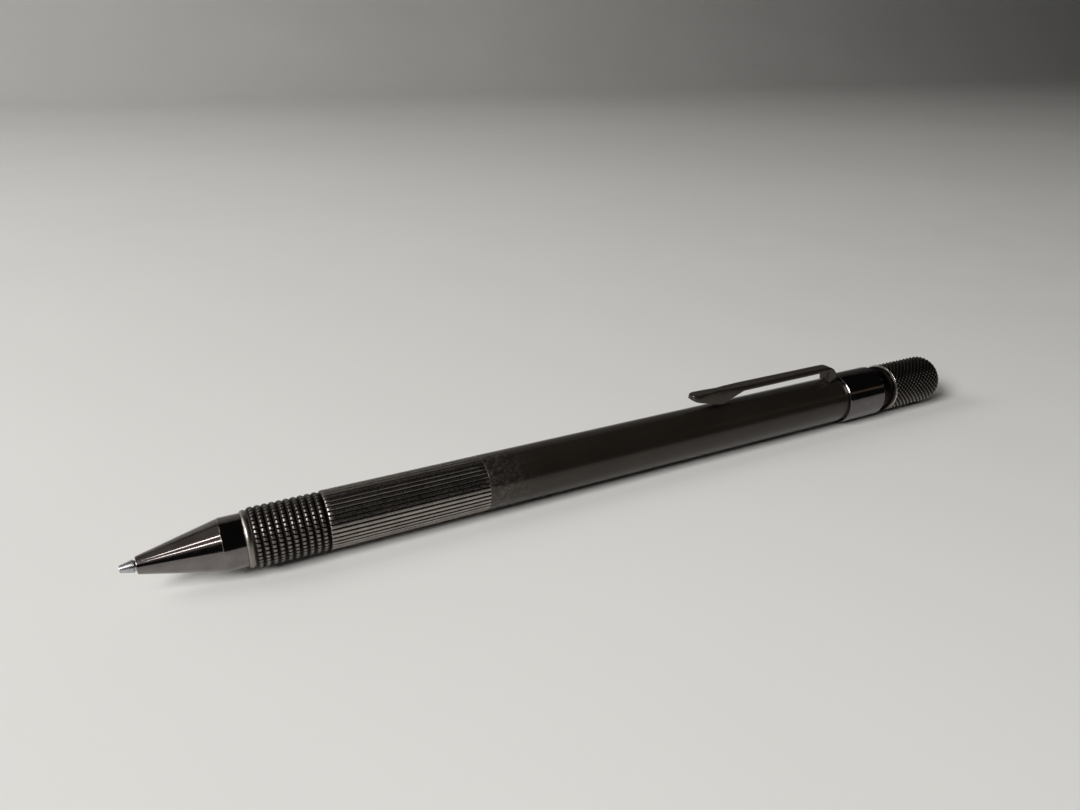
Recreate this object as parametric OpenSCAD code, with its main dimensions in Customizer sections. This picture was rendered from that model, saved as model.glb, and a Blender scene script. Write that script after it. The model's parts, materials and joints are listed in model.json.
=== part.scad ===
// Push-button mechanical pencil, all metal, with a ring grip and a spring clip.
// It lies along X with the writing tip at -X and the push button at +X.
// The origin is on the resting surface, under the middle of the pencil.
// Every station along the pencil is a distance from the very tip.

/* [Overall] */
// Length from the tip of the lead sleeve to the end of the button
total_length = 141.2; // [140:0.1:144]
// Diameter of the smooth barrel
barrel_d = 8.2; // [8.1:0.05:8.5]
// Wall left between the barrel and the parts inside it
barrel_wall = 0.6; // [0.5:0.05:0.6]

/* [Nose] */
// Length of the steel lead sleeve that shows in front of the cone
sleeve_show = 1.9; // [1.5:0.1:3]
// Diameter of the cone at its small end
cone_tip_d = 2.25; // [2:0.05:2.4]
// Where the cone ends and the short cylinder behind it begins
cone_end = 11.8; // [11.5:0.1:12.4]
// Diameter of the short cylinder behind the cone
nose_d = 7.1; // [6.9:0.05:7.4]

/* [Grip] */
// Where the nose ends and the ring grip begins
grip_start = 14.6; // [14.4:0.1:14.8]
// Number of full turned rings
ring_count = 10; // [8:1:10]
// Distance from one ring to the next
ring_pitch = 0.926; // [0.85:0.001:0.95]
// Depth of the valley between two rings
ring_depth = 0.25; // [0.15:0.01:0.3]
// Number of fine grooves that run along the grip
groove_count = 40; // [24:1:42]
// Depth of one fine groove
groove_depth = 0.16; // [0.1:0.01:0.2]
// Where the grooved grip ends and the smooth barrel begins
grip_end = 47.8; // [46:0.1:50]

/* [Clip] */
// Width of the clip's strip at its free end
clip_w = 2.8; // [2.4:0.1:3]
// Width of the clip's strip at its root
clip_root_w = 2.3; // [1.6:0.1:2.4]
// Thickness of the clip's strip
clip_t = 0.7; // [0.5:0.05:0.8]
// Height of the clip's outer face above the pencil's axis
clip_top = 6.9; // [6.6:0.05:7.2]
// Length of the foot that the clip stands on
foot_length = 2.4; // [1:0.1:2.6]
// Where the free end of the clip is
clip_tip = 84.8; // [80:0.1:90]

/* [Rear end] */
// Where the polished collar begins
collar_start = 117.2; // [115.5:0.1:117.5]
// Diameter of the polished collar
collar_d = 9; // [8.9:0.05:9.4]
// Length of the polished collar
collar_length = 8.5; // [8.2:0.1:8.8]
// Diameter of the knurled button over its crests
button_d = 8.6; // [8.4:0.05:8.8]
// How far the button goes in when it is pressed
push_stroke = 1.9; // [1.5:0.1:1.9]
// How far the clutch ring and the lead go forward at each press
lead_step = 0.6; // [0.4:0.1:0.6]

/* [Mechanism] */
// Diameter of the pencil lead
lead_d = 0.5; // [0.3:0.1:0.5]
// Outer diameter of the tube that stores the spare leads
lead_tube_d = 3.5; // [3.3:0.1:3.6]
// Number of spare leads in the tube
spare_count = 3; // [1:1:4]
// Turns of the return spring
spring_turns = 9; // [6:1:12]
// Thickness of the spring's wire
spring_wire = 0.3; // [0.2:0.05:0.35]

/* [Hidden] */

$fn = 96;
slip = 0.05;            // radial clearance of a running fit
gunmetal = [0.20, 0.18, 0.17];
barrel_black = [0.10, 0.09, 0.09];
collar_black = [0.16, 0.15, 0.17];

barrel_r = barrel_d / 2;
barrel_bore = barrel_r - barrel_wall;
collar_r = collar_d / 2;
collar_end = collar_start + collar_length;
axis_height = collar_r;

// Lead and its passages
lead_r = lead_d / 2;
lead_way = lead_r + 0.03;

// Nose: stations and radii of its stepped bore
sleeve_tip_r = 0.46;
sleeve_base_r = 0.85;
sleeve_seat_end = 6.0;
retainer_start = 6.2;
retainer_end = 8.2;
retainer_r = 1.22;
nose_r = nose_d / 2;
cone_end_r = nose_r - 0.06;
nose_web = 13.05;       // shoulder that stops the clutch ring going forward
head_room_r = 2.0;      // room for the opening jaws
guide_r = 2.45;         // outside of the chuck guide
nose_spigot_r = 2.9;
nose_spigot_end = 21;

// Grip: crest and valley radii
ring_r = barrel_r - 0.07;
lip_r = ring_r - 0.2;
grip_r = barrel_r - 0.02;
first_ring = grip_start + 1.36;
groove_start = first_ring + (ring_count - 0.27) * ring_pitch;
grip_bore = nose_spigot_r + slip;
guide_flange_start = 21.8;
guide_flange_end = 27;
joint_half = 6;         // how far the joint bush goes into each tube

// Chuck, clutch ring and guide
ring_front = nose_web + slip + lead_step;
ring_len = 2.2;
clutch_r = 2.1;
clutch_bore = 1.45;
chuck_front = ring_front - 2;
chuck_head_r = 1.7;
chuck_stem_r = 1.05;
chuck_end = 25;
pocket_end = ring_front + ring_len + 0.4;
spring_front = pocket_end + 1.3;
spring_back = 29;
chamber_r = 2.0;
guide_end = 40;

// Lead tube and push button
tube_r = lead_tube_d / 2;
tube_bore = tube_r - 0.3;
tube_start = spring_back + 1.5;
tube_end = 118.5;
button_r = button_d / 2;
sleeve_r = 2.85;        // inner sleeve of the button
sleeve_bore = 2.3;
sleeve_start = 113;
sleeve_end = 131.5;
skirt_r = 3.8;          // smooth neck in front of the knurl
skirt_start = collar_end - 0.8;
step_start = collar_end + push_stroke + 0.4;
step_end = step_start + 0.6;
knurl_start = step_end + 0.15;
dome_length = 2;
dome_flat_r = 2;         // flat middle of the button's end
cap_floor = total_length - 2.6;
bush_start = 108;
bush_end = 121.5;
web_end = skirt_start - push_stroke - 0.1;

// Clip
clip_back = collar_start - 0.5;         // rear face of the foot
clip_foot = clip_back - foot_length;
barrel_end = collar_start - 1.2;
clip_ring_r = barrel_r - 0.1;
nub_drop = barrel_r + 0.1;      // height of the nub's lowest line above the axis
nub_r = 2.6;                    // roundness of the nub across the clip
bend_r = 2.9;                   // outside radius of the bend at the root
corner_r = 0.9;                 // inside radius between the strip and its foot

// Puts a shape that was drawn along Z on the pencil's axis, with Z = 0 at the tip
module on_axis() {
    translate([-total_length / 2, 0, axis_height]) rotate([0, 90, 0]) children();
}

// A turned piece; each point is [radius, distance from the tip]
module turned(points) {
    on_axis() rotate_extrude() polygon(points);
}

// A plain tube between two stations
module tube(outer, inner, from, to) {
    turned([[inner, from], [outer, from], [outer, to], [inner, to]]);
}

// Points of one rounded ring crest
function crest(middle, half, valley, top, steps = 8) = [
    for (i = [0 : steps])
        let (t = i / steps)
        [valley + (top - valley) * sin(180 * t), middle + half * (2 * t - 1)]
];

// Quarter ellipse from [r1, z1] out to [r2, z2], bulging away from the axis
function dome(r1, z1, r2, z2, steps = 10) = [
    for (i = [0 : steps])
        let (a = 90 * i / steps)
        [r2 + (r1 - r2) * cos(a), z1 + (z2 - z1) * sin(a)]
];

// ---- Nose ----

module nose_cone() {
    color(gunmetal) turned([
        [sleeve_base_r, sleeve_show],
        [cone_tip_d / 2 - 0.1, sleeve_show],
        [cone_tip_d / 2, sleeve_show + 0.1],
        [cone_end_r, cone_end],
        [nose_r, cone_end + 0.08],
        [nose_r, grip_start],
        [nose_spigot_r, grip_start],
        [nose_spigot_r, nose_spigot_end - 0.3],
        [nose_spigot_r - 0.3, nose_spigot_end],
        [guide_r + slip, nose_spigot_end],
        [guide_r + slip, nose_web],
        [head_room_r, nose_web],
        [head_room_r, retainer_end + 1.2],
        [retainer_r + slip, retainer_end + 0.1],
        [retainer_r + slip, retainer_start - slip],
        [sleeve_base_r, retainer_start - slip]
    ]);
}

module lead_sleeve() {
    color("silver") turned([
        [lead_way, 0],
        [sleeve_tip_r - 0.06, 0],
        [sleeve_tip_r, 0.06],
        [sleeve_base_r, sleeve_show - 0.3],
        [sleeve_base_r - 0.13, sleeve_show - 0.25],
        [sleeve_base_r - 0.13, sleeve_show],
        [sleeve_base_r, sleeve_show],
        [sleeve_base_r, sleeve_seat_end],
        [lead_way + 0.2, sleeve_seat_end],
        [lead_way, sleeve_seat_end - 0.4]
    ]);
}

module lead_retainer() {
    color([0.12, 0.12, 0.12]) turned([
        [lead_way + 0.25, retainer_start],
        [retainer_r, retainer_start],
        [retainer_r, retainer_end],
        [lead_way + 0.25, retainer_end],
        [lead_way, retainer_end - 0.5],
        [lead_way, retainer_start + 0.5]
    ]);
}

// ---- Grip and barrel ----

module grip_tube() {
    groove_side = groove_depth * sqrt(2);
    color(gunmetal) difference() {
        turned(concat(
            [[grip_bore, grip_start], [lip_r - 0.15, grip_start]],
            crest(grip_start + 0.42, 0.36, lip_r - 0.15, lip_r),
            [for (i = [0 : ring_count - 1])
                each crest(first_ring + i * ring_pitch, 0.40, ring_r - ring_depth, ring_r)],
            [[ring_r - ring_depth, groove_start - 0.1], [grip_r, groove_start + 0.1]],
            [[grip_r, grip_end], [barrel_bore, grip_end]],
            [[barrel_bore, grip_end - joint_half], [guide_r + 0.15, grip_end - joint_half]],
            [[guide_r + 0.15, guide_flange_end], [grip_bore, guide_flange_end]]
        ));
        for (i = [0 : groove_count - 1])
            on_axis() rotate([0, 0, i * 360 / groove_count]) translate([grip_r + 0.02, 0, groove_start - 0.3])
                rotate([0, 0, 45]) translate([-groove_side / 2, -groove_side / 2, 0])
                    cube([groove_side, groove_side, grip_end - groove_start + 1]);
    }
}

module joint_bush() {
    color("goldenrod") tube(barrel_bore, guide_r + 0.15, grip_end - joint_half, grip_end + joint_half);
}

module barrel_tube() {
    color(barrel_black) tube(barrel_r, barrel_bore, grip_end, barrel_end);
}

// ---- Mechanism ----

module chuck_guide() {
    color("goldenrod") turned([
        [clutch_r + slip, nose_web + slip],
        [guide_r, nose_web + slip],
        [guide_r, guide_flange_start],
        [grip_bore, guide_flange_start],
        [grip_bore, guide_flange_end],
        [guide_r, guide_flange_end],
        [guide_r, guide_end],
        [chamber_r, guide_end],
        [chamber_r, spring_front],
        [chuck_stem_r + 0.25, spring_front],
        [chuck_stem_r + 0.25, pocket_end],
        [clutch_r + slip, pocket_end]
    ]);
}

module chuck_ring() {
    color("darkgoldenrod") turned([
        [clutch_bore, ring_front],
        [clutch_r - 0.1, ring_front],
        [clutch_r, ring_front + 0.1],
        [clutch_r, ring_front + ring_len - 0.1],
        [clutch_r - 0.1, ring_front + ring_len],
        [clutch_bore, ring_front + ring_len]
    ]);
}

// Split brass collet: three jaws on one stem
module chuck() {
    slit_end = chuck_front + 7;
    color("gold") difference() {
        turned([
            [lead_way, chuck_front],
            [chuck_head_r - 0.4, chuck_front],
            [chuck_head_r, chuck_front + 0.4],
            [chuck_head_r, chuck_front + 0.8],
            [chuck_stem_r, chuck_front + 3.2],
            [chuck_stem_r, 22],
            [chuck_stem_r - 0.1, 22],
            [chuck_stem_r - 0.1, chuck_end],
            [lead_way, chuck_end]
        ]);
        for (i = [0 : 2])
            on_axis() rotate([0, 0, i * 120 + 30]) translate([0, -0.12, chuck_front - 1])
                cube([chuck_head_r + 1, 0.24, slit_end - chuck_front + 1]);
    }
}

module chuck_holder() {
    color("goldenrod") turned([
        [chuck_stem_r - 0.1, 22],
        [chuck_stem_r + 0.2, 22],
        [chuck_stem_r + 0.2, spring_back],
        [chamber_r - 0.1, spring_back],
        [chamber_r - 0.1, tube_start],
        [tube_bore, tube_start],
        [tube_bore, tube_start + 3.5],
        [tube_bore - 0.2, tube_start + 3.5],
        [lead_way + 0.1, tube_start],
        [lead_way + 0.1, chuck_end],
        [chuck_stem_r - 0.1, chuck_end]
    ]);
}

// A point of a helix round the axis; t runs from 0 at one end to 1 at the other
function coil_point(t, turns, radius, from, to) =
    [radius * cos(360 * turns * t), radius * sin(360 * turns * t), from + (to - from) * t];

// Round wire swept along the helix
module return_spring() {
    sides = 8;
    steps_a_turn = 16;
    coil_r = chamber_r - 0.4;
    wire_r = spring_wire / 2;
    low = spring_front + wire_r + 0.02;
    high = spring_back - wire_r - 0.02;
    count = spring_turns * steps_a_turn;
    points = [
        for (i = [0 : count], k = [0 : sides - 1])
            let (p = coil_point(i / count, spring_turns, coil_r, low, high))
            let (a = 360 * i / steps_a_turn)
            let (b = 360 * k / sides)
            p + wire_r * [cos(b) * cos(a), cos(b) * sin(a), sin(b)]
    ];
    walls = [
        for (i = [0 : count - 1], k = [0 : sides - 1])
            let (n = (k + 1) % sides)
            [i * sides + k, (i + 1) * sides + k, (i + 1) * sides + n, i * sides + n]
    ];
    first = [for (k = [0 : sides - 1]) k];
    last = [for (k = [sides - 1 : -1 : 0]) count * sides + k];
    color("silver") on_axis() polyhedron(points, concat(walls, [first, last]), convexity = 10);
}

module lead_tube() {
    color([0.85, 0.85, 0.82]) tube(tube_r, tube_bore, tube_start, tube_end);
}

module lead(from, to, radius, angle) {
    color([0.25, 0.25, 0.27]) on_axis() rotate([0, 0, angle]) translate([radius, 0, from])
        cylinder(h = to - from, r = lead_r);
}

module working_lead() {
    lead(0.2, 52, 0, 0);
}

module spare_leads() {
    lie_r = tube_bore - lead_r - 0.05;
    spread = 2 * asin((lead_r + 0.02) / lie_r);
    for (i = [0 : spare_count - 1])
        lead(48, 108, lie_r, (i - (spare_count - 1) / 2) * spread);
}

// ---- Rear end ----

module rear_bush() {
    color("goldenrod") tube(barrel_bore, sleeve_r + 0.08, bush_start, bush_end);
}

module clip_ring() {
    color(collar_black) tube(clip_ring_r, barrel_bore, barrel_end, collar_start);
}

module collar() {
    color(collar_black) turned([
        [barrel_bore, collar_start],
        [collar_r - 0.2, collar_start],
        [collar_r, collar_start + 0.2],
        [collar_r, collar_end - 0.25],
        [collar_r - 0.25, collar_end],
        [skirt_r + 0.1, collar_end],
        [skirt_r + 0.1, web_end],
        [sleeve_r + 0.08, web_end],
        [sleeve_r + 0.08, bush_end],
        [barrel_bore, bush_end]
    ]);
}

// Outline of the clip seen from the side; X from the tip, Y above the axis
module clip_outline() {
    low = clip_top - clip_t;
    bend_x = clip_back - bend_r;
    bend_z = clip_top - bend_r;
    outer = [for (a = [90 : -10 : 0]) [bend_x + bend_r * cos(a), bend_z + bend_r * sin(a)]];
    inner = [
        for (a = [0 : 10 : 90])
            [clip_foot - corner_r + corner_r * cos(a), low - corner_r + corner_r * sin(a)]
    ];
    nose = [for (a = [0 : 15 : 90]) [clip_tip + 0.3 - 0.3 * sin(a), clip_top - 0.3 + 0.3 * cos(a)]];
    polygon(concat(
        outer,
        [[clip_back, barrel_r - 1], [clip_foot, barrel_r - 1]],
        inner,
        [[clip_tip + 10.4, low], [clip_tip + 9.7, low - 0.12]],
        [[clip_tip + 6.3, nub_drop + 0.06], [clip_tip + 5.8, nub_drop], [clip_tip + 5.3, nub_drop + 0.06]],
        [[clip_tip + 0.2, low + 0.1], [clip_tip, low + 0.2]],
        [for (i = [len(nose) - 1 : -1 : 0]) nose[i]]
    ));
}

// Outline of the clip seen from above: a round free end and a strip that narrows to the root
module clip_plan() {
    end_r = clip_w / 2;
    polygon(concat(
        [for (a = [90 : 7.5 : 270]) [clip_tip + end_r + end_r * cos(a), end_r * sin(a)]],
        [[clip_back + 1, -clip_root_w / 2], [clip_back + 1, clip_root_w / 2]]
    ));
}

module clip_arm() {
    color(collar_black) difference() {
        intersection() {
            translate([-total_length / 2, clip_w / 2, axis_height]) rotate([90, 0, 0])
                linear_extrude(clip_w) clip_outline();
            translate([-total_length / 2, 0, axis_height]) linear_extrude(clip_top + 1) clip_plan();
            // rounds the nub across the clip's width
            translate([clip_tip - 1 - total_length / 2, 0, axis_height + clip_top])
                rotate([0, 90, 0]) cylinder(h = 36, r = nub_r);
        }
        // foot follows the barrel, with a small gap where the strip flexes
        on_axis() cylinder(h = total_length, r = barrel_r + 0.06);
    }
}

module button_sleeve() {
    color("silver") turned([
        [tube_r, sleeve_start],
        [sleeve_r, sleeve_start],
        [sleeve_r, sleeve_end],
        [sleeve_bore, sleeve_end],
        [sleeve_bore, tube_end + 1.5],
        [tube_r, tube_end]
    ]);
}

module eraser_ferrule() {
    plug_start = sleeve_end - 5;
    cup_floor = sleeve_end + 1.2;
    color("silver") turned([
        [0, plug_start],
        [sleeve_bore - slip - 0.2, plug_start],
        [sleeve_bore - slip, plug_start + 0.2],
        [sleeve_bore - slip, sleeve_end + slip],
        [sleeve_r - 0.05, sleeve_end + slip],
        [sleeve_r - 0.05, sleeve_end + 0.8],
        [sleeve_bore + 0.3, sleeve_end + 0.8],
        [sleeve_bore + 0.3, sleeve_end + 4.5],
        [sleeve_bore, sleeve_end + 4.5],
        [sleeve_bore, cup_floor],
        [0, cup_floor]
    ]);
}

module eraser() {
    start = sleeve_end + 1.2;
    end = cap_floor - 0.3;
    color("white") turned(concat(
        [[0, start], [sleeve_bore, start]],
        dome(sleeve_bore, end - 0.6, sleeve_bore - 0.6, end, 4),
        [[0, end]]
    ));
}

// Smooth neck, step ring and knurled head with a domed end
module button_cap() {
    dome_start = total_length - dome_length;
    color(gunmetal) turned(concat(
        [[sleeve_r + slip, skirt_start], [skirt_r - 0.15, skirt_start], [skirt_r, skirt_start + 0.15]],
        [[skirt_r, step_start], [skirt_r + 0.3, step_start + 0.1]],
        [[skirt_r + 0.3, step_end - 0.1], [skirt_r + 0.2, step_end]],
        [[skirt_r + 0.2, knurl_start], [button_r, knurl_start + 0.2]],
        dome(button_r, dome_start, dome_flat_r, total_length),
        [[0, total_length], [0, cap_floor], [sleeve_r + slip, cap_floor]]
    ));
}

nose_cone();
lead_sleeve();
lead_retainer();
grip_tube();
joint_bush();
barrel_tube();
chuck_guide();
chuck_ring();
chuck();
chuck_holder();
return_spring();
lead_tube();
working_lead();
spare_leads();
rear_bush();
clip_ring();
clip_arm();
collar();
button_sleeve();
eraser_ferrule();
eraser();
button_cap();
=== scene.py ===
"""Looks of the all-metal mechanical pencil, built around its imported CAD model.

The pencil lies along X with its tip at -X. Outlines are given in millimetres as
(distance from the tip, radius), and mm() turns them into metres in the shared frame.
"""
import json
import math

import bmesh
import bpy
from mathutils import Matrix, Vector


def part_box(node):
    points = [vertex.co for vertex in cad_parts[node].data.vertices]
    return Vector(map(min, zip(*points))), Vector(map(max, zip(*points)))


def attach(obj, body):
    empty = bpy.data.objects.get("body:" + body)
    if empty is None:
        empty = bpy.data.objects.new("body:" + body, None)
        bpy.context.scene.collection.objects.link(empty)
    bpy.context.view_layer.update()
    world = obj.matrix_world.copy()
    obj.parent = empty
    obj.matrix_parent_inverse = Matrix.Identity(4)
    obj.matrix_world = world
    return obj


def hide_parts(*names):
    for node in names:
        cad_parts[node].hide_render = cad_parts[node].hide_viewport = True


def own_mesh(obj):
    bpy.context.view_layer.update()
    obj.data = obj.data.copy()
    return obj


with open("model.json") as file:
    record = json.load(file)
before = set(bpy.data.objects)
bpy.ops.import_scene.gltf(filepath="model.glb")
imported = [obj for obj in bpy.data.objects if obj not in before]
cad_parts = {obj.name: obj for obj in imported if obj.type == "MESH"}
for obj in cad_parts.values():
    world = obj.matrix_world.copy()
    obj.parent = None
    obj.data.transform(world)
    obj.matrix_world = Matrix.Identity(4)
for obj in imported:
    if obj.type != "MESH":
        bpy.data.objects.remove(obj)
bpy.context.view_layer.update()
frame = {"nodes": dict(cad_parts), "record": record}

# ---- Places and sizes, read from the frame -----------------------------------------------

MM = 0.001
TIP_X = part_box("lead_sleeve")[0].x
AXIS_Z = sum(corner.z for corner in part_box("barrel_tube")) / 2


def span(node):
    """Where a node starts and ends along the pencil, in mm from the tip."""
    low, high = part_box(node)
    return (low.x - TIP_X) / MM, (high.x - TIP_X) / MM


def radius(node):
    """A turned node's outer radius in mm."""
    low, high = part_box(node)
    return (high.y - low.y) / 2 / MM


SLEEVE_START, SLEEVE_END = span("lead_sleeve")
CONE_START, SPIGOT_END = span("nose_cone")
GRIP_START, GRIP_END = span("grip_tube")
BARREL_START, BARREL_END = span("barrel_tube")
RING_START, RING_END = span("clip_ring")
COLLAR_START, COLLAR_END = span("collar")
CAP_START, CAP_END = span("button_cap")
CLIP_START, CLIP_END = span("clip_arm")
NOSE_R = radius("nose_cone")
BARREL_R = radius("barrel_tube")
COLLAR_R = radius("collar")
CAP_R = radius("button_cap")
CLIP_RING_R = radius("clip_ring")
CLIP_HALF_W = radius("clip_arm")
CLIP_TOP = (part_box("clip_arm")[1].z - AXIS_Z) / MM

# ---- Sizes of the detail, in mm ------------------------------------------------------------

SLEEVE_TIP_R = 0.46
CONE_TIP_R = 1.125
CONE_END = 11.8
RING_COUNT = 10
RING_PITCH = 0.926
RING_R = BARREL_R - 0.07
RING_DEPTH = 0.25
FIRST_RING = GRIP_START + 1.36
LIP_R = RING_R - 0.2
LAND_R = BARREL_R - 0.02
GROOVE_COUNT = 40
GROOVE_DEPTH = 0.19
TOOTH_DEPTH = 0.22
GROOVE_HALF = 0.24      # half of a groove's mouth, as a share of the groove pitch
TOOTH_SHARES = (-0.5, -0.36, -0.27, -0.24, -0.17, -0.08, 0.0, 0.08, 0.17, 0.24, 0.27, 0.36)
RING_DARKENING = 0.18       # the rings and the lip are darker than the lands between the grooves
LIP_LENGTH = 0.76
SPIGOT_R = 2.9
NOSE_WEB = 13.05        # shoulder in the nose that stops the clutch ring
GUIDE_ROOM_R = 2.5      # room for the chuck guide
HEAD_ROOM_START = 9.4
HEAD_ROOM_R = 2.0       # room for the chuck's head
RETAINER_START = 6.15
RETAINER_END = 8.3
RETAINER_ROOM_R = 1.27
GRIP_BORE = 2.95
FLANGE_END = 27         # rear of the chuck guide's flange, which sits in the grip
BUSH_BORE_R = 2.6
JOINT_HALF = 6          # how far the bush between grip and barrel goes into the grip
WALL = 0.6
KNURL_AROUND = 30
KNURL_DEPTH = 0.24
KNURL_HALF_CUT = 0.42   # half width of a knurl cut, as a share of its pitch
NECK_R = 3.8
NECK_END = COLLAR_END + 2.3
STEP_R = NECK_R + 0.3
STEP_END = NECK_END + 0.6
KNURL_START = STEP_END + 0.15
DOME_LENGTH = 2.0
DOME_FLAT_R = 2.0
CAP_BORE_R = 2.9
CAP_END_WALL = 2.6
NECK_PAINTED_SHADE = 0.7        # painted shade on the neck, which lies deep between collar and head
# painted shade on the step ring: more on its front edge, less on the rest
STEP_EDGE_PAINTED_SHADE = 0.5
STEP_PAINTED_SHADE = 0.38
COLLAR_WEB_START = 121.5
SLEEVE_BORE_R = 2.93    # bore in the collar's web for the button's inner sleeve
CLIP_T = 0.7
CLIP_ROOT_HALF_W = 1.15
FOOT_LENGTH = 2.4
NUB_MIDDLE = 5.8        # from the clip's free end to the lowest line of its nub
NUB_LOW = BARREL_R + 0.1
NUB_RAMP = 4.4          # from the nub's lowest line back to the strip's full height
BEND_R = 2.9
SPRING_WIRE = 0.3
SPRING_TURNS = 9
CROWN_SLOPE = 0.30      # how far the clip's sides lean in for each mm of height


def point(x, y, z):
    """A point in metres: x from the tip, y across, z above the pencil's axis, all in mm."""
    return Vector((TIP_X + x * MM, y * MM, AXIS_Z + z * MM))


# ---- Mesh helpers -----------------------------------------------------------------------------

def make_object(name, vertices, faces, sharp_angle=35):
    """A mesh object with smooth faces and sharp edges where the surface really turns."""
    mesh = bpy.data.meshes.new(name)
    mesh.from_pydata([tuple(v) for v in vertices], [], faces)
    work = bmesh.new()
    work.from_mesh(mesh)
    bmesh.ops.recalc_face_normals(work, faces=work.faces)
    limit = math.radians(sharp_angle)
    for face in work.faces:
        face.smooth = True
    for edge in work.edges:
        edge.smooth = len(edge.link_faces) == 2 and edge.calc_face_angle(0) < limit
    work.to_mesh(mesh)
    work.free()
    obj = bpy.data.objects.new(name, mesh)
    bpy.context.scene.collection.objects.link(obj)
    return obj


def fillet(corners, steps=5):
    """Rounds the corners of a closed outline; each corner is (x, r, fillet radius)."""
    rounded = []
    for i, (x, r, size) in enumerate(corners):
        here = Vector((x, r))
        before = Vector(corners[i - 1][:2]) - here
        after = Vector(corners[(i + 1) % len(corners)][:2]) - here
        turn = before.angle(after)
        if size <= 0 or turn > math.radians(179):
            rounded.append((x, r))
            continue
        reach = min(size / math.tan(turn / 2), before.length * 0.48, after.length * 0.48)
        start = here + before.normalized() * reach
        end = here + after.normalized() * reach
        for k in range(steps + 1):
            t = k / steps
            p = start * (1 - t) ** 2 + here * 2 * t * (1 - t) + end * t ** 2
            rounded.append((p.x, p.y))
    return rounded


def lathe(name, outline, angles=160, surface=None, closed=True, sharp_angle=35):
    """Turns an outline of (x, r) about the pencil's axis.

    surface(i, x, r, angle) may return (x, r, darkening) for a pattern; darkening goes from 0 on
    the outside to 1 at the bottom of a cut, and the material paints it as shade.
    """
    if isinstance(angles, int):
        angles = [2 * math.pi * k / angles for k in range(angles)]
    vertices, darkening, faces, rows = [], [], [], []
    for i, (x, r) in enumerate(outline):
        if r < 1e-6:
            rows.append([len(vertices)])
            vertices.append(point(x, 0, 0))
            darkening.append(0.0)
            continue
        rows.append(list(range(len(vertices), len(vertices) + len(angles))))
        for a in angles:
            px, pr, deep = surface(i, x, r, a) if surface else (x, r, 0.0)
            vertices.append(point(px, pr * math.sin(a), pr * math.cos(a)))
            darkening.append(deep)
    pairs = list(zip(rows, rows[1:])) + ([(rows[-1], rows[0])] if closed else [])
    n = len(angles)
    for low, high in pairs:
        if len(low) == 1 and len(high) == 1:
            continue
        for k in range(n):
            nxt = (k + 1) % n
            if len(low) == 1:
                faces.append((low[0], high[nxt], high[k]))
            elif len(high) == 1:
                faces.append((low[k], low[nxt], high[0]))
            else:
                faces.append((low[k], low[nxt], high[nxt], high[k]))
    obj = make_object(name, vertices, faces, sharp_angle)
    layer = obj.data.attributes.new("darkening", "FLOAT", "POINT")
    layer.data.foreach_set("value", darkening)
    return obj


def stretch(start, end, steps):
    """Evenly spaced values from start to end, both included."""
    return [start + (end - start) * k / steps for k in range(steps + 1)]


# ---- Material helpers ------------------------------------------------------------------------

class Nodes:
    """A short way to write a procedural material."""

    def __init__(self, name, shader_values):
        self.material = bpy.data.materials.new(name)
        self.material.use_nodes = True
        self.tree = self.material.node_tree
        self.shader = self.tree.nodes["Principled BSDF"]
        for socket, value in shader_values.items():
            self.shader.inputs[socket].default_value = value

    def add(self, kind, inputs=None, **settings):
        node = self.tree.nodes.new("ShaderNode" + kind)
        for key, value in settings.items():
            setattr(node, key, value)
        for socket, value in (inputs or {}).items():
            self.put(node.inputs[socket], value)
        return node

    def put(self, socket, value):
        if isinstance(value, bpy.types.NodeSocket):
            self.tree.links.new(value, socket)
        else:
            socket.default_value = value

    def place(self, scale=(1, 1, 1)):
        """Object coordinates in mm, stretched by scale."""
        coordinates = self.add("TexCoord").outputs["Object"]
        size = [s / MM for s in scale]
        return self.add("Mapping", {"Vector": coordinates, "Scale": size}).outputs["Vector"]

    def noise(self, scale, stretch_by=(1, 1, 1), detail=3.0, roughness=0.55):
        """Noise from 0 to 1; scale is in cells for each mm."""
        return self.add("TexNoise", {
            "Vector": self.place(stretch_by), "Scale": scale, "Detail": detail, "Roughness": roughness,
        }).outputs["Fac"]

    def ramp(self, value, low, high, out_low=0.0, out_high=1.0):
        return self.add("MapRange", {
            "Value": value, "From Min": low, "From Max": high, "To Min": out_low, "To Max": out_high,
        }).outputs["Result"]

    def math(self, operation, a, b=0.0):
        return self.add("Math", {0: a, 1: b}, operation=operation).outputs[0]

    def blend(self, factor, a, b):
        """Mixes two colours."""
        mix = self.add("Mix", data_type="RGBA")
        self.put(mix.inputs["Factor"], factor)
        self.put(mix.inputs[6], a)
        self.put(mix.inputs[7], b)
        return mix.outputs[2]

    def attribute(self, name):
        return self.add("Attribute", attribute_name=name).outputs["Fac"]

    def bump(self, height, distance, strength=1.0, before=None):
        inputs = {"Height": height, "Distance": distance * MM, "Strength": strength}
        if before is not None:
            inputs["Normal"] = before
        return self.add("Bump", inputs).outputs["Normal"]

    def finish(self, color=None, roughness=None, normal=None):
        for socket, value in (("Base Color", color), ("Roughness", roughness), ("Normal", normal)):
            if value is not None:
                self.put(self.shader.inputs[socket], value)
        return self.material


def rgb(r, g, b):
    return (r, g, b, 1.0)


# ---- Materials ----------------------------------------------------------------------------------

def polished_gunmetal():
    """Dark plated steel with fine turning lines round the axis and faint handling marks."""
    n = Nodes("polished_gunmetal", {"Metallic": 1.0})
    lines = n.noise(1.0, (14, 0.02, 0.02), 4.0)
    cloud = n.noise(0.45, detail=5.0)
    smear = n.noise(1.6, (0.5, 2.0, 2.0), 4.0)
    color = n.blend(n.ramp(cloud, 0.35, 0.7), rgb(0.165, 0.148, 0.146), rgb(0.215, 0.195, 0.193))
    roughness = n.math("ADD", n.ramp(smear, 0.35, 0.75, 0.07, 0.12), n.ramp(lines, 0.3, 0.7, 0.0, 0.03))
    return n.finish(color, roughness, n.bump(lines, 0.0015, 0.4))


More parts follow.
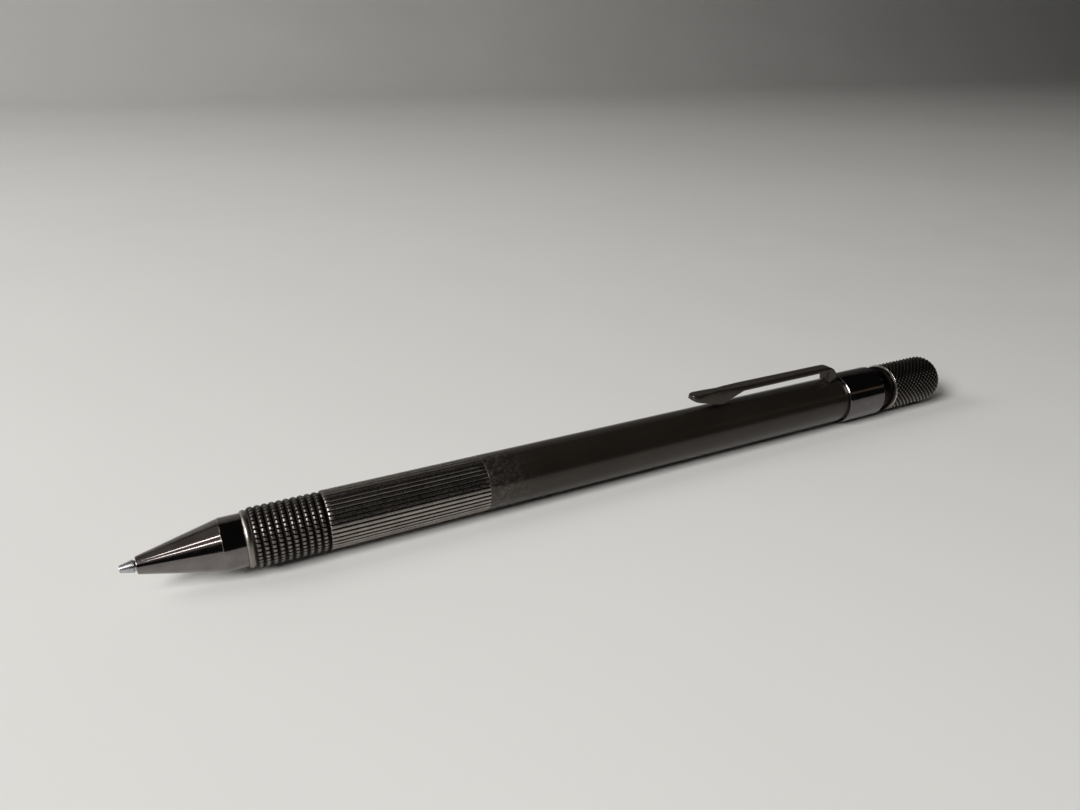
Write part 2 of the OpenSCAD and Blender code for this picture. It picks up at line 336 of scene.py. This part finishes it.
def turned_gunmetal():
    """The grip: plated like the nose, with painted shade that darkens the bottom of every cut."""
    n = Nodes("turned_gunmetal", {"Metallic": 1.0})
    cloud = n.noise(0.5, detail=5.0)
    fine = n.noise(6.0, (0.4, 1, 1), 3.0)
    darkening = n.attribute("darkening")
    top = n.blend(n.ramp(cloud, 0.35, 0.7), rgb(0.29, 0.262, 0.24), rgb(0.40, 0.365, 0.335))
    # painted shade: the plating blends towards near-black as the darkening mask rises
    color = n.blend(n.ramp(darkening, 0.06, 0.6), top, rgb(0.012, 0.010, 0.009))
    roughness = n.math("ADD", n.ramp(fine, 0.3, 0.75, 0.22, 0.36), n.ramp(darkening, 0.0, 1.0, 0.0, 0.35))
    return n.finish(color, roughness, n.bump(fine, 0.006, 0.5))


def knurled_gunmetal():
    """The cap: bright points on the knurl, with painted shade in its cuts and on the neck and step."""
    n = Nodes("knurled_gunmetal", {"Metallic": 1.0})
    cloud = n.noise(0.6, detail=4.0)
    fine = n.noise(7.0, detail=3.0)
    darkening = n.attribute("darkening")
    top = n.blend(n.ramp(cloud, 0.35, 0.7), rgb(0.42, 0.385, 0.355), rgb(0.53, 0.49, 0.45))
    # painted shade: the metal goes near-black in the knurl's cuts, on the neck and on the step
    color = n.blend(n.ramp(darkening, 0.12, 0.42), top, rgb(0.010, 0.008, 0.007))
    roughness = n.math("ADD", n.ramp(fine, 0.3, 0.75, 0.16, 0.28), n.ramp(darkening, 0.0, 1.0, 0.0, 0.3))
    return n.finish(color, roughness, n.bump(fine, 0.002, 0.5))


def satin_black():
    """Black-brown coating: mottled where it has worn near the grip, with a few hairline scratches."""
    n = Nodes("satin_black", {"Metallic": 0.6, "Specular IOR Level": 0.9})
    grain = n.noise(9.0, detail=4.0)
    cloud = n.noise(0.22, (0.35, 1, 1), 5.0)
    blotch = n.noise(1.5, (0.8, 1, 1), 8.0, 0.75)
    scratch = n.noise(1.0, (0.12, 9, 9), 2.0)
    along = n.add("SeparateXYZ", {"Vector": n.place()}).outputs["X"]
    start = (TIP_X / MM) + BARREL_START
    near_grip = n.ramp(along, start, start + 9.0, 1.0, 0.0)
    worn = n.math("MULTIPLY", near_grip, n.ramp(blotch, 0.45, 0.62))
    color = n.blend(n.ramp(cloud, 0.3, 0.7), rgb(0.026, 0.019, 0.0145), rgb(0.037, 0.029, 0.023))
    color = n.blend(n.math("MULTIPLY", worn, 0.7), color, rgb(0.12, 0.108, 0.098))
    color = n.blend(n.ramp(scratch, 0.70, 0.78, 0.0, 0.5), color, rgb(0.10, 0.092, 0.085))
    roughness = n.math("ADD", n.ramp(grain, 0.3, 0.7, 0.19, 0.27), n.math("MULTIPLY", worn, 0.1))
    height = n.math("ADD", n.math("MULTIPLY", grain, 0.6), n.math("MULTIPLY", blotch, worn))
    return n.finish(color, roughness, n.bump(height, 0.012, 0.5))


def black_chrome():
    """Polished black chrome with fine hairlines and a little haze."""
    n = Nodes("black_chrome", {"Metallic": 1.0})
    haze = n.noise(0.7, (0.6, 1, 1), 5.0)
    hairs = n.noise(1.0, (10, 0.05, 0.05), 3.0)
    color = n.blend(n.ramp(haze, 0.3, 0.7), rgb(0.125, 0.112, 0.114), rgb(0.17, 0.153, 0.157))
    speck = n.noise(6.0, detail=4.0)
    roughness = n.math("ADD", n.ramp(haze, 0.3, 0.75, 0.06, 0.13), n.ramp(speck, 0.4, 0.75, 0.0, 0.08))
    return n.finish(color, roughness, n.bump(speck, 0.0015, 0.4, n.bump(hairs, 0.002, 0.4)))


def bright_steel():
    """The lead sleeve: bare steel with turning lines."""
    n = Nodes("bright_steel", {"Metallic": 1.0})
    rings = n.noise(1.0, (18, 0.02, 0.02), 4.0)
    cloud = n.noise(1.2, detail=4.0)
    color = n.blend(n.ramp(cloud, 0.3, 0.7), rgb(0.40, 0.40, 0.42), rgb(0.52, 0.52, 0.54))
    roughness = n.ramp(rings, 0.3, 0.7, 0.16, 0.3)
    return n.finish(color, roughness, n.bump(rings, 0.004, 0.5))


def spring_steel():
    """Drawn wire with faint streaks."""
    n = Nodes("spring_steel", {"Metallic": 1.0})
    streak = n.noise(4.0, detail=3.0)
    color = n.blend(streak, rgb(0.40, 0.40, 0.41), rgb(0.58, 0.58, 0.60))
    return n.finish(color, n.ramp(streak, 0.3, 0.7, 0.22, 0.36), n.bump(streak, 0.003, 0.4))


def brass():
    """Turned brass with a little tarnish."""
    n = Nodes("brass", {"Metallic": 1.0})
    rings = n.noise(1.0, (12, 0.03, 0.03), 4.0)
    tarnish = n.noise(0.8, detail=5.0)
    color = n.blend(n.ramp(tarnish, 0.35, 0.75), rgb(0.72, 0.52, 0.23), rgb(0.50, 0.33, 0.13))
    roughness = n.ramp(rings, 0.3, 0.7, 0.2, 0.36)
    return n.finish(color, roughness, n.bump(rings, 0.005, 0.5))


def soft_dull(name, low, high, rough_low, rough_high, grain_scale, metallic=0.0):
    """Rubber, plastic and graphite: a dull surface with a fine grain."""
    n = Nodes(name, {"Metallic": metallic, "Specular IOR Level": 0.4})
    grain = n.noise(grain_scale, detail=4.0)
    cloud = n.noise(0.8, detail=3.0)
    color = n.blend(n.ramp(cloud, 0.3, 0.7), low, high)
    return n.finish(color, n.ramp(grain, 0.3, 0.7, rough_low, rough_high), n.bump(grain, 0.01, 0.4))


MATERIALS = {
    "polished_gunmetal": polished_gunmetal(),
    "turned_gunmetal": turned_gunmetal(),
    "knurled_gunmetal": knurled_gunmetal(),
    "satin_black": satin_black(),
    "black_chrome": black_chrome(),
    "bright_steel": bright_steel(),
    "spring_steel": spring_steel(),
    "brass": brass(),
    "black_rubber": soft_dull(
        "black_rubber", rgb(0.02, 0.02, 0.02), rgb(0.035, 0.035, 0.035), 0.6, 0.8, 8.0),
    "tube_plastic": soft_dull(
        "tube_plastic", rgb(0.70, 0.70, 0.66), rgb(0.80, 0.80, 0.77), 0.35, 0.5, 3.0),
    "graphite": soft_dull(
        "graphite", rgb(0.05, 0.05, 0.055), rgb(0.10, 0.10, 0.11), 0.3, 0.45, 12.0, 0.5),
    "white_eraser": soft_dull(
        "white_eraser", rgb(0.78, 0.78, 0.76), rgb(0.86, 0.86, 0.84), 0.75, 0.9, 5.0),
}


def dress(obj, slot, node=None, body=None):
    """Gives a piece its material, slot and body, and hides the CAD node that it stands for."""
    obj.data.materials.clear()
    obj.data.materials.append(MATERIALS[slot])
    if node:
        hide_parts(node)
    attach(obj, body)
    return obj


# ---- Pieces: nose ---------------------------------------------------------------------------------

def build_lead_sleeve():
    base_r = radius("lead_sleeve")
    outline = fillet([
        (SLEEVE_START, 0.28, 0.02),
        (SLEEVE_START, SLEEVE_TIP_R, 0.05),
        (CONE_START - 0.30, base_r, 0.06),
        (CONE_START - 0.24, base_r - 0.14, 0),
        (CONE_START, base_r - 0.14, 0),
        (CONE_START, base_r, 0),
        (SLEEVE_END, base_r, 0.05),
        (SLEEVE_END, 0.48, 0),
        (SLEEVE_END - 0.4, 0.28, 0),
    ])
    dress(lathe("lead_sleeve_turned", outline, 96), "bright_steel", "lead_sleeve", "nose")


def build_nose_cone():
    bore_r = radius("lead_sleeve")
    outline = fillet([
        (CONE_START, bore_r, 0),
        (CONE_START, CONE_TIP_R, 0.12),
        (CONE_END, NOSE_R - 0.06, 0.02),
        (CONE_END + 0.05, NOSE_R, 0.03),
        (GRIP_START - 0.02, NOSE_R, 0.05),
        (GRIP_START - 0.02, SPIGOT_R, 0),
        (SPIGOT_END, SPIGOT_R, 0.3),
        (SPIGOT_END, GUIDE_ROOM_R, 0),
        (NOSE_WEB, GUIDE_ROOM_R, 0),
        (NOSE_WEB, HEAD_ROOM_R, 0),
        (HEAD_ROOM_START, HEAD_ROOM_R, 0),
        (RETAINER_END, RETAINER_ROOM_R, 0),
        (RETAINER_START, RETAINER_ROOM_R, 0),
        (RETAINER_START, bore_r, 0),
    ])
    dress(lathe("nose_cone_turned", outline, 256), "polished_gunmetal", "nose_cone", "nose")


# ---- Pieces: grip and barrel ------------------------------------------------------------------

def build_grip():
    """Ten toothed rings, then fine grooves along the grip, all cut into one turned tube."""
    groove_start = FIRST_RING + (RING_COUNT - 0.27) * RING_PITCH
    rows = [(GRIP_START, GRIP_BORE, "plain"), (GRIP_START, LIP_R - 0.2, "plain")]
    lip_start = GRIP_START + 0.04
    for x in stretch(lip_start, lip_start + LIP_LENGTH, 10):
        share = (x - lip_start) / LIP_LENGTH
        rows.append((x, LIP_R - 0.16 + 0.16 * abs(math.sin(math.pi * share)) ** 0.7, "lip"))
    for ring in range(RING_COUNT):
        middle = FIRST_RING + ring * RING_PITCH
        for x in stretch(middle - RING_PITCH * 0.5, middle + RING_PITCH * 0.5, 14)[:-1]:
            swell = math.cos(math.pi * (x - middle) / RING_PITCH) ** 2
            rows.append((x, RING_R - RING_DEPTH * (1 - swell ** 0.5), "tooth"))
    rows.append((groove_start - 0.12, RING_R - RING_DEPTH, "tooth"))
    for x in stretch(groove_start - 0.04, groove_start + 0.2, 5):
        share = (x - groove_start + 0.04) / 0.24
        rows.append((x, RING_R - RING_DEPTH + (LAND_R - RING_R + RING_DEPTH) * share ** 0.5, "groove"))
    for x in stretch(groove_start + 0.8, GRIP_END - 0.06, 24):
        rows.append((x, LAND_R, "groove"))
    rows += [(GRIP_END, LAND_R - 0.03, "groove"), (GRIP_END, BARREL_R - WALL, "plain")]
    joint_start = GRIP_END - JOINT_HALF
    rows += [(joint_start, BARREL_R - WALL, "plain"), (joint_start, BUSH_BORE_R, "plain")]
    rows += [(FLANGE_END, BUSH_BORE_R, "plain"), (FLANGE_END, GRIP_BORE, "plain")]

    pitch = 2 * math.pi / GROOVE_COUNT
    angles = [(k + share) * pitch for k in range(GROOVE_COUNT) for share in TOOTH_SHARES]

    def surface(i, x, r, angle):
        kind = rows[i][2]
        if kind in ("plain", "lip"):
            return x, r, RING_DARKENING if kind == "lip" else 0.0
        top, depth, base_darkening = (LAND_R, GROOVE_DEPTH, 0.0)
        if kind == "tooth":
            top, depth, base_darkening = (RING_R, TOOTH_DEPTH, RING_DARKENING)
        share = (angle / pitch + 0.5) % 1 - 0.5
        floor = top + 0.02
        if abs(share) < GROOVE_HALF:
            floor = top - depth * (1 - abs(share) / GROOVE_HALF)
        cut = min(r, floor)
        # painted shade: the deeper the cut, the darker, added on top of the rings' and lip's base
        # darkening
        return x, cut, min(1.0, base_darkening + (top - cut) / RING_DEPTH)

    outline = [(x, r) for x, r, kind in rows]
    piece = lathe("grip_tube_grooved", outline, angles, surface, sharp_angle=50)
    dress(piece, "turned_gunmetal", "grip_tube", "barrel")


def build_barrel():
    outline = fillet([
        (BARREL_START, BARREL_R - WALL, 0),
        (BARREL_START, BARREL_R, 0.06),
        (BARREL_END, BARREL_R, 0.12),
        (BARREL_END, BARREL_R - WALL, 0),
    ])
    dress(lathe("barrel_tube_coated", outline, 256), "satin_black", "barrel_tube", "barrel")


# ---- Pieces: clip ring, clip and collar -----------------------------------------------------------

def build_clip_ring():
    outline = fillet([
        (RING_START, BARREL_R - WALL, 0),
        (RING_START, CLIP_RING_R, 0.04),
        (RING_END, CLIP_RING_R, 0.04),
        (RING_END, BARREL_R - WALL, 0),
    ])
    dress(lathe("clip_ring_turned", outline, 192), "satin_black", "clip_ring", "barrel")


def build_collar():
    web_end = CAP_START - 2.0       # the inner web stops the button going in any further
    outline = fillet([
        (COLLAR_START, BARREL_R - WALL, 0),
        (COLLAR_START, COLLAR_R - 0.14, 0.04),
        (COLLAR_START + 0.12, COLLAR_R - 0.005, 0.08),
        (COLLAR_END - 0.24, COLLAR_R - 0.005, 0.16),
        (COLLAR_END, COLLAR_R - 0.26, 0.06),
        (COLLAR_END, NECK_R + 0.1, 0.06),
        (web_end, NECK_R + 0.1, 0),
        (web_end, SLEEVE_BORE_R, 0),
        (COLLAR_WEB_START, SLEEVE_BORE_R, 0),
        (COLLAR_WEB_START, BARREL_R - WALL, 0),
    ])
    dress(lathe("collar_polished", outline, 256), "black_chrome", "collar", "barrel")


def clip_half_width(x):
    """Half the strip's width: a round free end, then a slow taper to the root."""
    along = x - CLIP_START
    if along < CLIP_HALF_W:
        return math.sqrt(max(CLIP_HALF_W ** 2 - (CLIP_HALF_W - along) ** 2, 0.03))
    share = (along - CLIP_HALF_W) / (CLIP_END - CLIP_START - CLIP_HALF_W)
    return CLIP_HALF_W + (CLIP_ROOT_HALF_W - CLIP_HALF_W) * share


def clip_underside(x):
    """Height of the strip's underside above the axis, at the middle of its width."""
    low = CLIP_TOP - CLIP_T
    nub = CLIP_START + NUB_MIDDLE
    if x < nub:
        share = (x - CLIP_START) / NUB_MIDDLE
        under = low - 0.2 + (NUB_LOW - low + 0.2) * share + 0.25 * (1 - min(1.0, share * 8)) ** 2
    else:
        share = min(1.0, (x - nub) / NUB_RAMP)
        under = NUB_LOW + (low - NUB_LOW) * share ** 0.94
    return under + 0.08 * max(0.0, 1 - abs(x - nub) / 0.8) ** 2


def strip_outline(half, thick, crown=1.0):
    """A section of the strip: (across, depth below the top), with soft corners.

    Where the strip is deepened to form the nub, its sides lean in and its lower face curves
    up towards them; crown tells how much of that there is.
    """
    slope = CROWN_SLOPE * crown
    flat = half - max(slope * thick, half * 0.42)       # half width of the flat top
    shoulder = min(0.28, thick * 0.5)
    edge = half - (thick - shoulder) * slope * 0.8
    corner = min(0.07, half * 0.3)
    side = []
    for k in range(9):
        t = k / 8
        across = flat * (1 - t) ** 2 + (flat + (edge - flat) * 0.75) * 2 * t * (1 - t) + edge * t ** 2
        side.append((across, shoulder * t ** 2))
    for k in range(4):
        a = math.radians(k * 30)
        side.append((half - corner + corner * math.cos(a), thick - corner + corner * math.sin(a)))
    side += [((half - corner) * k / 6, thick) for k in range(5, 0, -1)]
    whole = side + [(0.0, thick)] + [(-y, d) for y, d in reversed(side)]
    whole += [(flat * k / 4, 0.0) for k in range(-3, 4)]
    sag = max(0.0, thick - CLIP_T) * 0.2 * crown
    return [(y, d - sag * max(0.0, d / thick * 2 - 1) * (y / half) ** 2) for y, d in whole]


def build_clip():
    """A strip swept from its rounded free end, over the nub, along the pencil and down its root."""
    bend_x, bend_z = CLIP_END - BEND_R, CLIP_TOP - BEND_R
    round_end = [math.radians(a) for a in range(0, 91, 6)]
    stations = [CLIP_START + 0.02 + CLIP_HALF_W * (1 - math.cos(a)) for a in round_end]
    stations += stretch(CLIP_START + CLIP_HALF_W + 0.25, CLIP_START + 11, 36)
    stations += stretch(CLIP_START + 12, bend_x, 12)
    rings = []
    for x in stations:
        rounding = 0.14 * max(0.0, 1 - (x - CLIP_START) / 0.35) ** 2
        top = CLIP_TOP - rounding
        outline = strip_outline(clip_half_width(x), top - clip_underside(x))
        rings.append([point(x, y, top - d) for y, d in outline])
    seat = BARREL_R + 0.06      # the foot's flat end clears the barrel when the clip flexes
    for step in range(1, 16):
        a = math.radians(90 - step * 6)
        face = (BEND_R - FOOT_LENGTH) / math.cos(a)
        under = (BEND_R - CLIP_T) / math.sin(a) if step < 15 else math.inf
        thick = BEND_R - (face ** -6 + under ** -6) ** (-1 / 6)
        half = clip_half_width(bend_x + BEND_R * math.cos(a))
        rings.append([
            point(bend_x + (BEND_R - d) * math.cos(a), y, max(bend_z + (BEND_R - d) * math.sin(a), seat))
            for y, d in strip_outline(half, thick, CLIP_T / thick)
        ])
    n = len(rings[0])
    vertices = [p for ring in rings for p in ring]
    faces = []
    for i in range(len(rings) - 1):
        for k in range(n):
            nxt = (k + 1) % n
            faces.append((i * n + k, i * n + nxt, (i + 1) * n + nxt, (i + 1) * n + k))
    faces.append(tuple(range(n)))
    faces.append(tuple(reversed(range((len(rings) - 1) * n, len(rings) * n))))
    piece = make_object("clip_strip", vertices, faces, sharp_angle=40)
    dress(piece, "satin_black", "clip_arm", "clip")


# ---- Pieces: return spring ----------------------------------------------------------------------------

def build_spring():
    """A round wire in a helix along the return spring's span."""
    start, end = span("return_spring")
    wire_r = SPRING_WIRE / 2
    coil_r = radius("return_spring") - wire_r
    sides, steps = 12, 36
    count = SPRING_TURNS * steps
    vertices = []
    for i in range(count + 1):
        x = start + wire_r + (end - start - SPRING_WIRE) * i / count
        turn = 2 * math.pi * i / steps
        for k in range(sides):
            a = 2 * math.pi * k / sides
            r = coil_r + wire_r * math.cos(a)
            vertices.append(point(x + wire_r * math.sin(a), r * math.cos(turn), r * math.sin(turn)))
    faces = []
    for i in range(count):
        for k in range(sides):
            nxt = (k + 1) % sides
            faces.append((i * sides + k, i * sides + nxt, (i + 1) * sides + nxt, (i + 1) * sides + k))
    faces.append(tuple(range(sides)))
    faces.append(tuple(range(count * sides, (count + 1) * sides)))
    piece = make_object("return_spring_wire", vertices, faces)
    dress(piece, "spring_steel", "return_spring", "barrel")
    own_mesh(piece)


# ---- Pieces: push button ----------------------------------------------------------------------------

def build_cap():
    """A smooth neck and step, then a head with a diamond knurl that runs on over its end."""
    dome_start = CAP_END - DOME_LENGTH
    front = [(CAP_START, CAP_BORE_R)] + fillet([
        (CAP_START, NECK_R - 0.01, 0.12),
        (COLLAR_END + 0.1, NECK_R - 0.01, 0.3),
        (COLLAR_END + 0.7, NECK_R - 0.16, 0.4),
        (NECK_END - 0.5, NECK_R - 0.16, 0.3),
        (NECK_END, NECK_R, 0.1),
        (NECK_END + 0.04, STEP_R, 0.1),
        (STEP_END, STEP_R, 0.08),
        (STEP_END + 0.05, STEP_R - 0.16, 0.04),
        (KNURL_START, STEP_R - 0.16, 0.04),
        (KNURL_START + 0.1, CAP_R, 0.05),
        (CAP_END, CAP_R, 0),
    ])[:-1]
    knurled = [(x, CAP_R) for x in stretch(KNURL_START + 0.12, dome_start, 140)]
    for a in stretch(0, 90, 40)[1:]:
        t = math.radians(a)
        knurled.append((
            dome_start + DOME_LENGTH * math.sin(t), DOME_FLAT_R + (CAP_R - DOME_FLAT_R) * math.cos(t)))
    knurled += [(CAP_END, r) for r in stretch(DOME_FLAT_R - 0.1, 0.4, 14)]
    floor = CAP_END - CAP_END_WALL
    outline = front + knurled + [(CAP_END, 0.0), (floor, 0.0), (floor, CAP_BORE_R)]
    first = len(front)
    travel = [0.0]
    for (x0, r0), (x1, r1) in zip(knurled, knurled[1:]):
        travel.append(travel[-1] + math.hypot(x1 - x0, r1 - r0))
    pitch = 2 * math.pi * CAP_R / KNURL_AROUND

    def surface(i, x, r, angle):
        k = i - first
        # painted shade on the neck and on the step ring
        if k < 0 and x < NECK_END:
            return x, r, NECK_PAINTED_SHADE
        if k < 0 and x < KNURL_START:
            return x, r, STEP_EDGE_PAINTED_SHADE if x < NECK_END + 0.15 else STEP_PAINTED_SHADE
        if not 0 <= k < len(knurled):
            return x, r, 0.0
        u = angle / (2 * math.pi) * KNURL_AROUND
        v = travel[k] / pitch
        cut = max(1 - abs(w - round(w)) / KNURL_HALF_CUT for w in (u + v, u - v))
        cut = max(0.0, cut) * min(1.0, k / 2) * min(1.0, max(0.0, r - 0.5) / 1.5)
        slope = math.asin(max(0.0, min(1.0, (x - dome_start) / DOME_LENGTH)))
        depth = KNURL_DEPTH * cut
        # the cut's depth also sets the painted shade in the knurl
        return x - depth * math.sin(slope), r - depth * math.cos(slope), cut

    piece = lathe("button_cap_knurled", outline, KNURL_AROUND * 14, surface, sharp_angle=60)
    dress(piece, "knurled_gunmetal", "button_cap", "cap")


build_lead_sleeve()
build_nose_cone()
build_grip()
build_barrel()
build_clip_ring()
build_collar()
build_clip()
build_spring()
build_cap()

# CAD nodes that stay, mostly inside, get the material of their slot
for part in frame["record"]["subparts"]:
    node = frame["nodes"][part["node"]]
    if not node.hide_render:
        node.data.materials.clear()
        node.data.materials.append(MATERIALS[part["material_slot"]])

# ---- Stage, light and camera ------------------------------------------------------------------------


def build_floor():
    """A pale floor that curves up into a plain wall behind the pencil."""
    n = Nodes("pale_floor", {"Specular IOR Level": 0.35})
    cloud = n.noise(0.004, detail=3.0)
    color = n.blend(n.ramp(cloud, 0.3, 0.7), rgb(0.74, 0.735, 0.715), rgb(0.78, 0.775, 0.757))
    material = n.finish(color, n.ramp(n.noise(0.05, detail=4.0), 0.3, 0.7, 0.34, 0.42))
    half_width = 4.0
    back = 1.12         # where the floor starts to curve up
    rise = 0.5
    wall_top = 2.2
    rows = [(-half_width, 0.0), (back, 0.0)]
    for step in range(1, 13):
        a = math.radians(step * 7.5)
        rows.append((back + rise * math.sin(a), rise * (1 - math.cos(a))))
    rows.append((back + rise, wall_top))
    vertices = [Vector((side * half_width, y, z)) for y, z in rows for side in (-1, 1)]
    faces = [(2 * i, 2 * i + 1, 2 * i + 3, 2 * i + 2) for i in range(len(rows) - 1)]
    floor = make_object("floor", vertices, faces)
    floor.data.materials.append(material)


def area_light(name, aim, direction, distance, size, energy, color):
    """A soft box that looks at aim from a direction; size is along the pencil, then across."""
    light = bpy.data.lights.new(name, "AREA")
    light.shape = "RECTANGLE"
    light.size, light.size_y = size
    light.energy = energy
    light.color = color
    back = Vector(direction).normalized()
    along = (Vector((1, 0, 0)) - back * back.x).normalized()
    turn = Matrix((along, back.cross(along), back)).transposed().to_4x4()
    obj = bpy.data.objects.new(name, light)
    obj.matrix_world = Matrix.Translation(Vector(aim) + back * distance) @ turn
    bpy.context.scene.collection.objects.link(obj)


def build_light():
    world = bpy.data.worlds.new("studio")
    world.use_nodes = True
    background = world.node_tree.nodes["Background"]
    background.inputs["Color"].default_value = rgb(1.0, 0.97, 0.93)
    background.inputs["Strength"].default_value = 0.012
    bpy.context.scene.world = world
    cone = point(7, 0, 0)
    tip = point(0, 0, 0)
    collar = point(110, 0, 0)
    backdrop = (0.1, 0.5, 0)
    white = (1.0, 0.97, 0.93)
    daylight = (1.0, 0.995, 0.98)
    lamp = (1.0, 0.93, 0.86)
    amber = (1.0, 0.80, 0.60)
    area_light("twin_low", cone, (-0.487, -0.555, 0.676), 0.85, (0.16, 0.035), 0.26, white)
    area_light("twin_high", cone, (-0.465, -0.253, 0.850), 0.85, (0.16, 0.035), 0.26, white)
    area_light("key_soft", tip, (-0.76, -0.31, 0.58), 1.1, (0.3, 0.5), 14.2, daylight)
    area_light("back_fill", backdrop, (-1.6, 0.25, 1.1), 1.95, (0.8, 0.8), 10.5, daylight)
    area_light("room_glow", cone, (-0.5, -0.1, 0.86), 1.3, (0.8, 2.2), 1.1, lamp)
    area_light("warm_side", collar, (0.75, -0.55, 0.36), 1.2, (0.7, 0.12), 0.05, amber)


def build_camera():
    data = bpy.data.cameras.new("camera")
    data.sensor_width = 36
    data.lens = 27.03
    data.clip_start = 0.005
    camera = bpy.data.objects.new("camera", data)
    azimuth, pitch = math.radians(26.9), math.radians(23.6)
    camera.location = point(8.4, -96.9, 58.0)
    ahead = Vector((
        math.sin(azimuth) * math.cos(pitch), math.cos(azimuth) * math.cos(pitch), -math.sin(pitch)))
    camera.rotation_euler = ahead.to_track_quat("-Z", "Y").to_euler()
    bpy.context.scene.collection.objects.link(camera)
    bpy.context.scene.camera = camera


build_floor()
build_light()
build_camera()
bpy.context.scene.view_settings.view_transform = "Standard"
